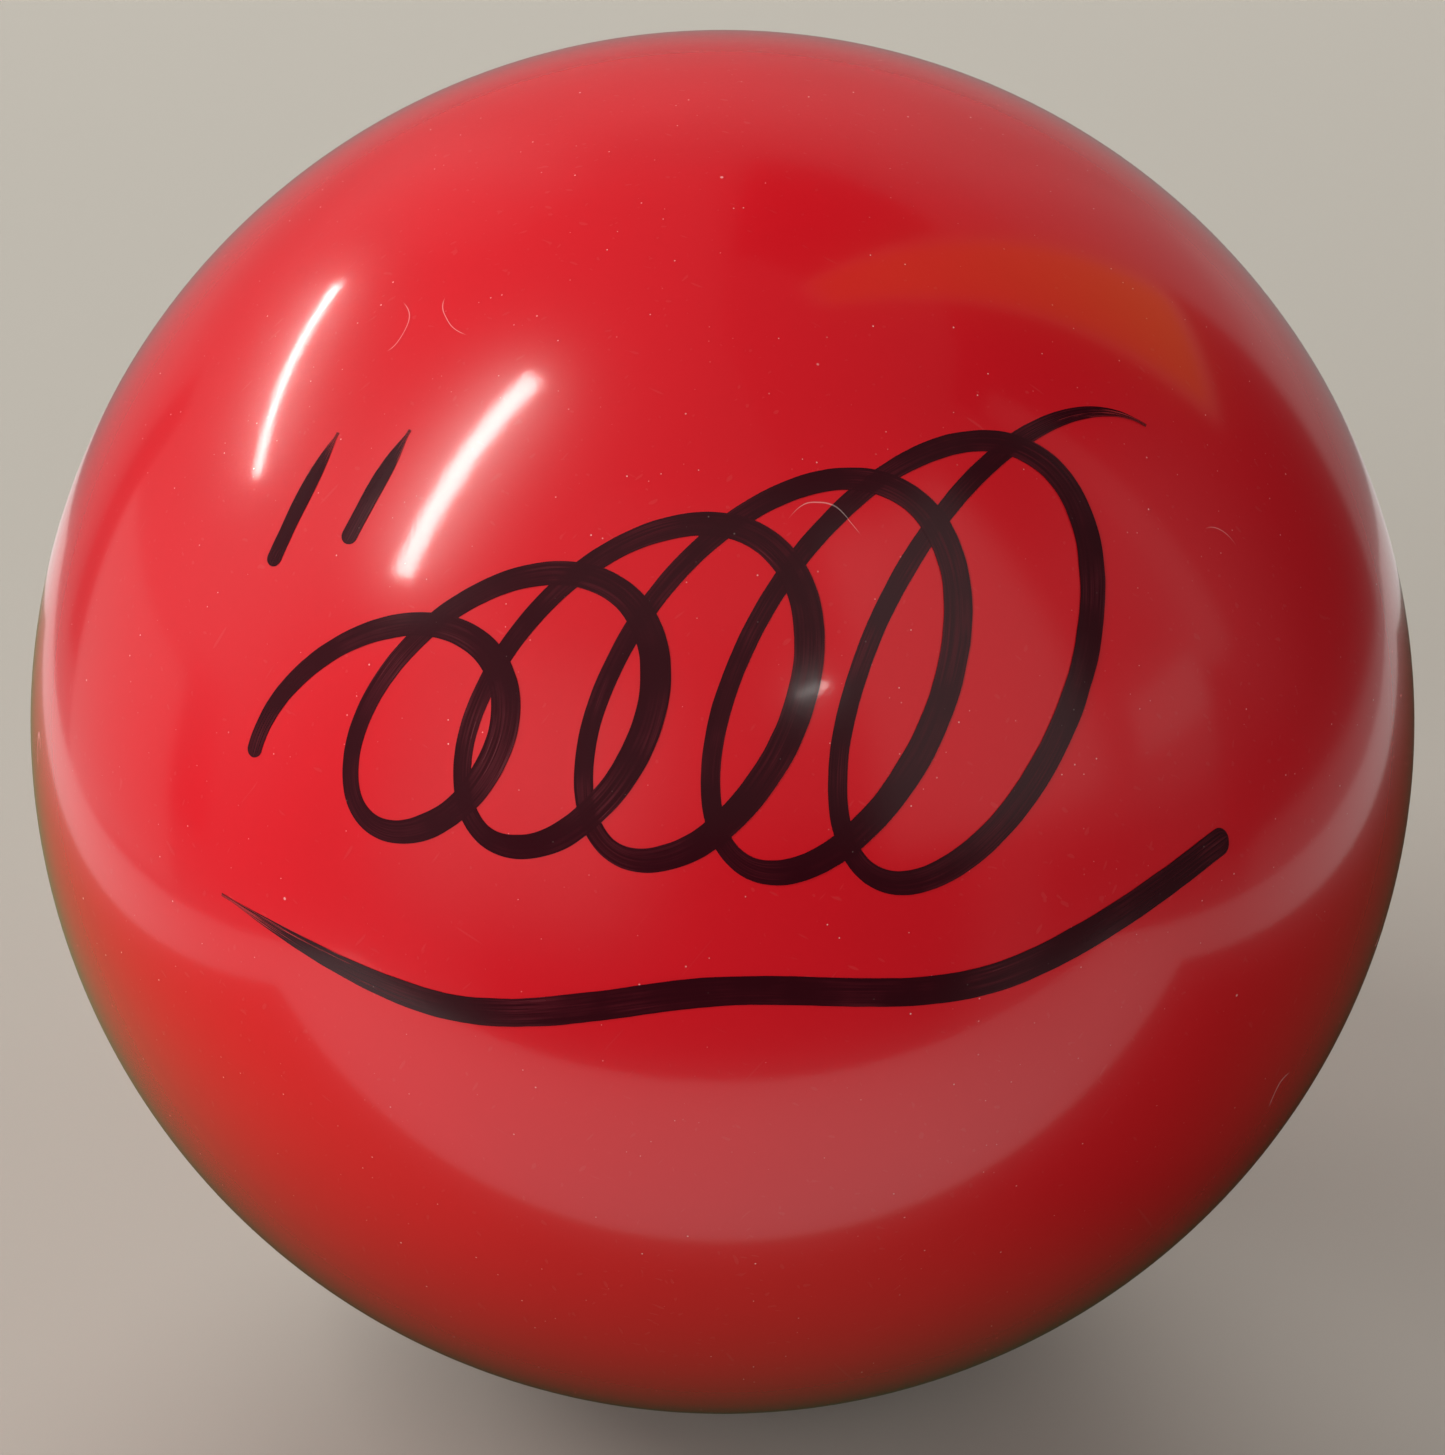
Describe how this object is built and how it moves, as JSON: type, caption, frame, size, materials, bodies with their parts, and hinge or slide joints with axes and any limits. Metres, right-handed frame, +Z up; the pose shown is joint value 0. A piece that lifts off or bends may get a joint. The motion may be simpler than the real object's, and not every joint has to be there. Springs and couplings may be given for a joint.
{
  "type": "snooker ball",
  "caption": "Solid red snooker object ball, round all over and polished, with a black marker flourish drawn on its side.",
  "frame": {"origin": "centre of the ball", "axes": "+Z up, +X to the right of someone who looks at the marked side; the marked side faces -Y and is tilted up by 27 degrees"},
  "size_m": [0.0524, 0.0524, 0.0524],
  "materials": {
    "ball_resin": "cast phenolic resin, ground and polished to a mirror gloss",
    "marker_ink": "dried permanent marker ink, thin and slightly glossy"
  },
  "bodies": {
    "root": {"ball": "ball_resin", "ink_coil": "marker_ink", "ink_underline": "marker_ink", "ink_tick_left": "marker_ink", "ink_tick_right": "marker_ink"}
  },
  "joints": []
}
